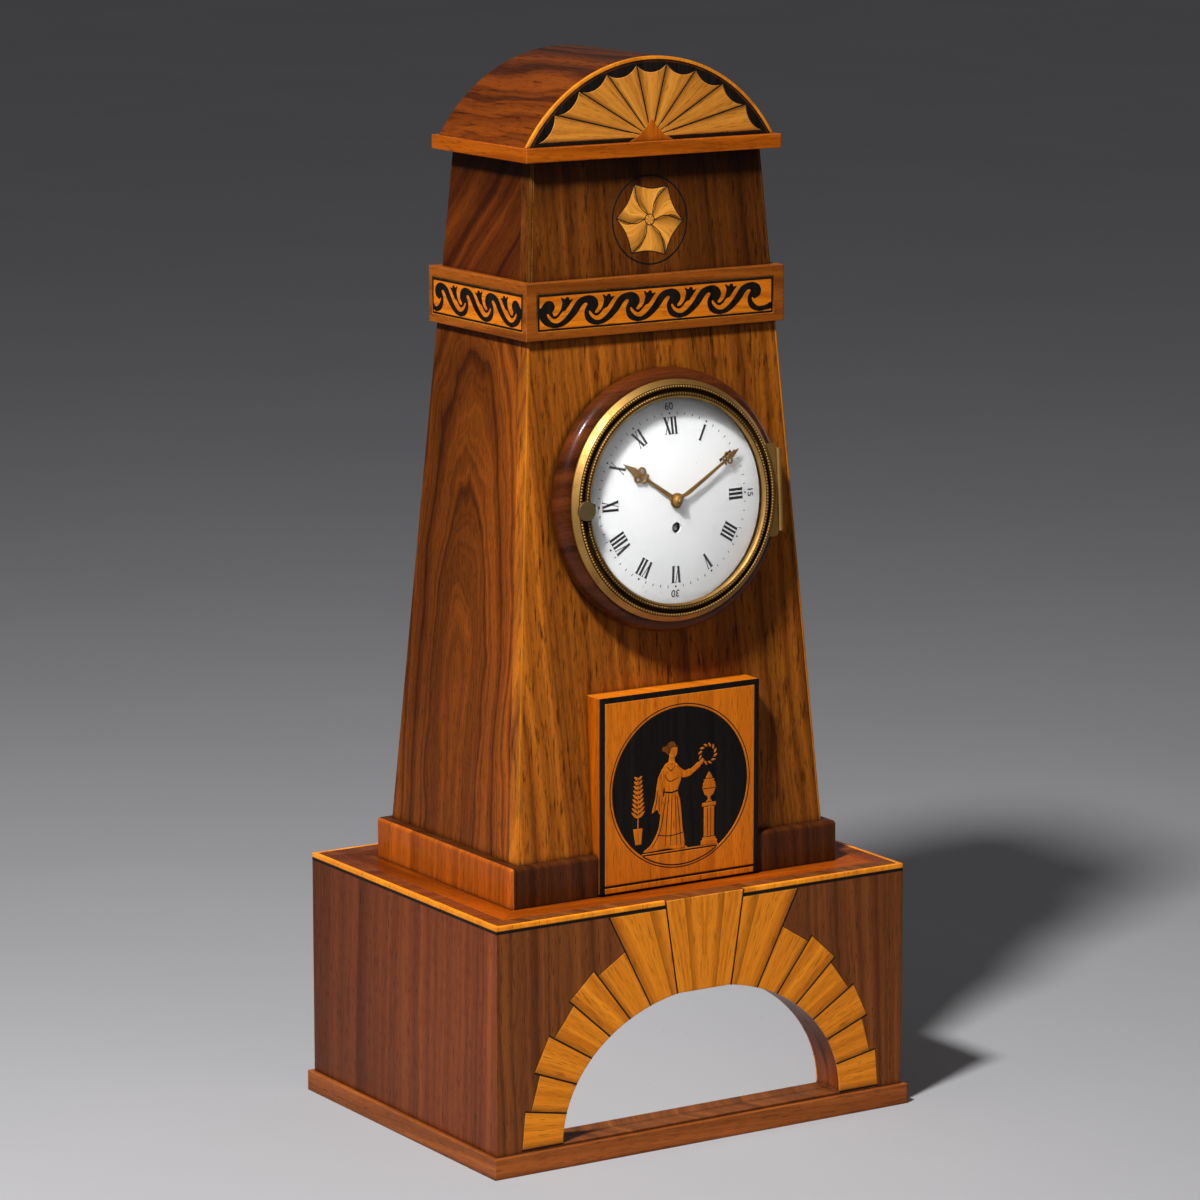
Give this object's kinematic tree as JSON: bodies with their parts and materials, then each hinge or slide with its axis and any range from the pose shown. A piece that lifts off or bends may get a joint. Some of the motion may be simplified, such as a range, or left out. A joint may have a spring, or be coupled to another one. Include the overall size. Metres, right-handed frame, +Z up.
{
  "type": "shelf clock",
  "caption": "Tapered wooden shelf clock with an arched mirror niche in its base, inlaid tower, barrel roof, enamel dial under a hinged glazed bezel, and a spring-driven pendulum movement.",
  "frame": {"origin": "middle of the underside of the base, at floor level", "axes": "+Z up, -Y the way the dial looks, +X to the right as seen from the front"},
  "size_m": [0.286, 0.216, 0.622],
  "materials": {
    "polished_mahogany": "French-polished reddish mahogany veneer",
    "front_mahogany": "French-polished darker mahogany veneer",
    "honey_wood": "polished honey-coloured fruitwood",
    "boxwood_line": "polished boxwood stringing",
    "ebony": "polished ebonised wood",
    "plain_carcass_wood": "plain stained carcass wood",
    "mirror": "silvered plate glass",
    "clear_glass": "clear domed glass",
    "white_enamel": "white enamel on copper",
    "gilt_brass": "aged gilt brass",
    "movement_brass": "plain turned and cut brass",
    "bright_steel": "bright steel"
  },
  "bodies": {
    "case": {"arch_voussoirs": "honey_wood", "back_door_hinge_fixed": "movement_brass", "back_plate": "movement_brass", "base_back": "polished_mahogany", "base_bottom": "plain_carcass_wood", "base_front": "front_mahogany", "base_side_left": "polished_mahogany", "base_side_right": "polished_mahogany", "base_skirting": "polished_mahogany", "base_top": "polished_mahogany", "bezel_hinge_pin": "bright_steel", "bezel_hinge_plate": "gilt_brass", "brass_screws": "movement_brass", "cornice_board": "honey_wood", "dial_face": "white_enamel", "dial_plate": "movement_brass", "dial_surround": "polished_mahogany", "edge_stringing": "boxwood_line", "fan_leaves": "honey_wood", "frieze_band": "polished_mahogany", "frieze_panels": "honey_wood", "front_plate": "movement_brass", "glue_blocks": "plain_carcass_wood", "mirror_plate": "mirror", "movement_pillars": "movement_brass", "patera_petals": "honey_wood", "plaque_block": "honey_wood", "plaque_ebony": "ebony", "roof_back_lunette": "plain_carcass_wood", "roof_front_lunette": "ebony", "roof_shell": "polished_mahogany", "tower_back": "plain_carcass_wood", "tower_front": "front_mahogany", "tower_side_left": "polished_mahogany", "tower_side_right": "polished_mahogany", "tower_skirting": "polished_mahogany"},
    "bezel": {"bezel_ring": "gilt_brass", "bezel_glass": "clear_glass", "bezel_hinge_leaf": "gilt_brass"},
    "catch": {"bezel_catch": "gilt_brass"},
    "minute": {"centre_wheel": "movement_brass", "cannon_pinion": "movement_brass", "minute_hand": "gilt_brass", "hand_collet": "gilt_brass"},
    "hour": {"hour_wheel": "movement_brass", "hour_hand": "gilt_brass"},
    "motion": {"minute_wheel": "movement_brass"},
    "barrel": {"mainspring_barrel": "movement_brass", "barrel_cover": "movement_brass", "mainspring": "bright_steel"},
    "third": {"third_wheel": "movement_brass"},
    "escape": {"escape_wheel": "movement_brass"},
    "winding": {"winding_arbor": "bright_steel"},
    "click": {"click": "bright_steel"},
    "pendulum": {"anchor": "bright_steel", "pendulum_rod": "bright_steel"},
    "bob": {"pendulum_bob": "movement_brass"},
    "door": {"back_door": "plain_carcass_wood", "back_door_hinge_leaves": "movement_brass"},
    "button": {"back_door_button": "movement_brass"}
  },
  "joints": [
    {"name": "bezel_hinge", "type": "hinge", "parent": "case", "child": "bezel", "pos_m": [0.0725, -0.0723, 0.37078], "axis": [0, 0.0698, 0.9976], "range_deg": [0, 150]},
    {"name": "catch_turn", "type": "hinge", "parent": "bezel", "child": "catch", "pos_m": [-0.0633, -0.07679, 0.3711], "axis": [0, -0.9976, 0.0698], "range_deg": [0, 90]},
    {"name": "minute_turn", "type": "hinge", "parent": "case", "child": "minute", "pos_m": [0, -0.05684, 0.3697], "axis": [0, 0.9976, -0.0698], "continuous": true},
    {"name": "hour_turn", "type": "hinge", "parent": "case", "child": "hour", "pos_m": [0, -0.05684, 0.3697], "axis": [0, 0.9976, -0.0698], "continuous": true},
    {"name": "motion_turn", "type": "hinge", "parent": "case", "child": "motion", "pos_m": [0.01, -0.05684, 0.3697], "axis": [0, 0.9976, -0.0698], "continuous": true},
    {"name": "barrel_turn", "type": "hinge", "parent": "case", "child": "barrel", "pos_m": [0, -0.05793, 0.35414], "axis": [0, 0.9976, -0.0698], "continuous": true},
    {"name": "third_turn", "type": "hinge", "parent": "case", "child": "third", "pos_m": [0.01018, -0.05613, 0.37986], "axis": [0, 0.9976, -0.0698], "continuous": true},
    {"name": "escape_turn", "type": "hinge", "parent": "case", "child": "escape", "pos_m": [0, -0.05557, 0.38792], "axis": [0, 0.9976, -0.0698], "continuous": true},
    {"name": "winding_turn", "type": "hinge", "parent": "case", "child": "winding", "pos_m": [0, -0.05793, 0.35414], "axis": [0, 0.9976, -0.0698], "continuous": true},
    {"name": "click_lift", "type": "hinge", "parent": "case", "child": "click", "pos_m": [-0.0086, -0.05859, 0.34476], "axis": [0, -0.9976, 0.0698], "range_deg": [0, 12], "stiffness_Nm_per_rad": 0.01},
    {"name": "pendulum_swing", "type": "hinge", "parent": "case", "child": "pendulum", "pos_m": [0, -0.05459, 0.40189], "axis": [0, -0.9976, 0.0698], "range_deg": [-3, 3]},
    {"name": "bob_adjust", "type": "slide", "parent": "pendulum", "child": "bob", "axis": [0, 0.0698, 0.9976], "range_m": [-0.006, 0.006]},
    {"name": "door_hinge", "type": "hinge", "parent": "case", "child": "door", "pos_m": [-0.0483, 0.06349, 0.30615], "axis": [0, -0.0698, 0.9976], "range_deg": [0, 110]},
    {"name": "button_turn", "type": "hinge", "parent": "case", "child": "button", "pos_m": [0.0566, 0.0613, 0.306], "axis": [0, -0.9976, -0.0698], "range_deg": [0, 90]}
  ],
  "couplings": [
    {"joint": "hour_turn", "follows": "minute_turn", "ratio": 0.083333},
    {"joint": "motion_turn", "follows": "minute_turn", "ratio": -0.33333},
    {"joint": "barrel_turn", "follows": "minute_turn", "ratio": -0.2},
    {"joint": "third_turn", "follows": "minute_turn", "ratio": -9},
    {"joint": "escape_turn", "follows": "minute_turn", "ratio": 108}
  ]
}
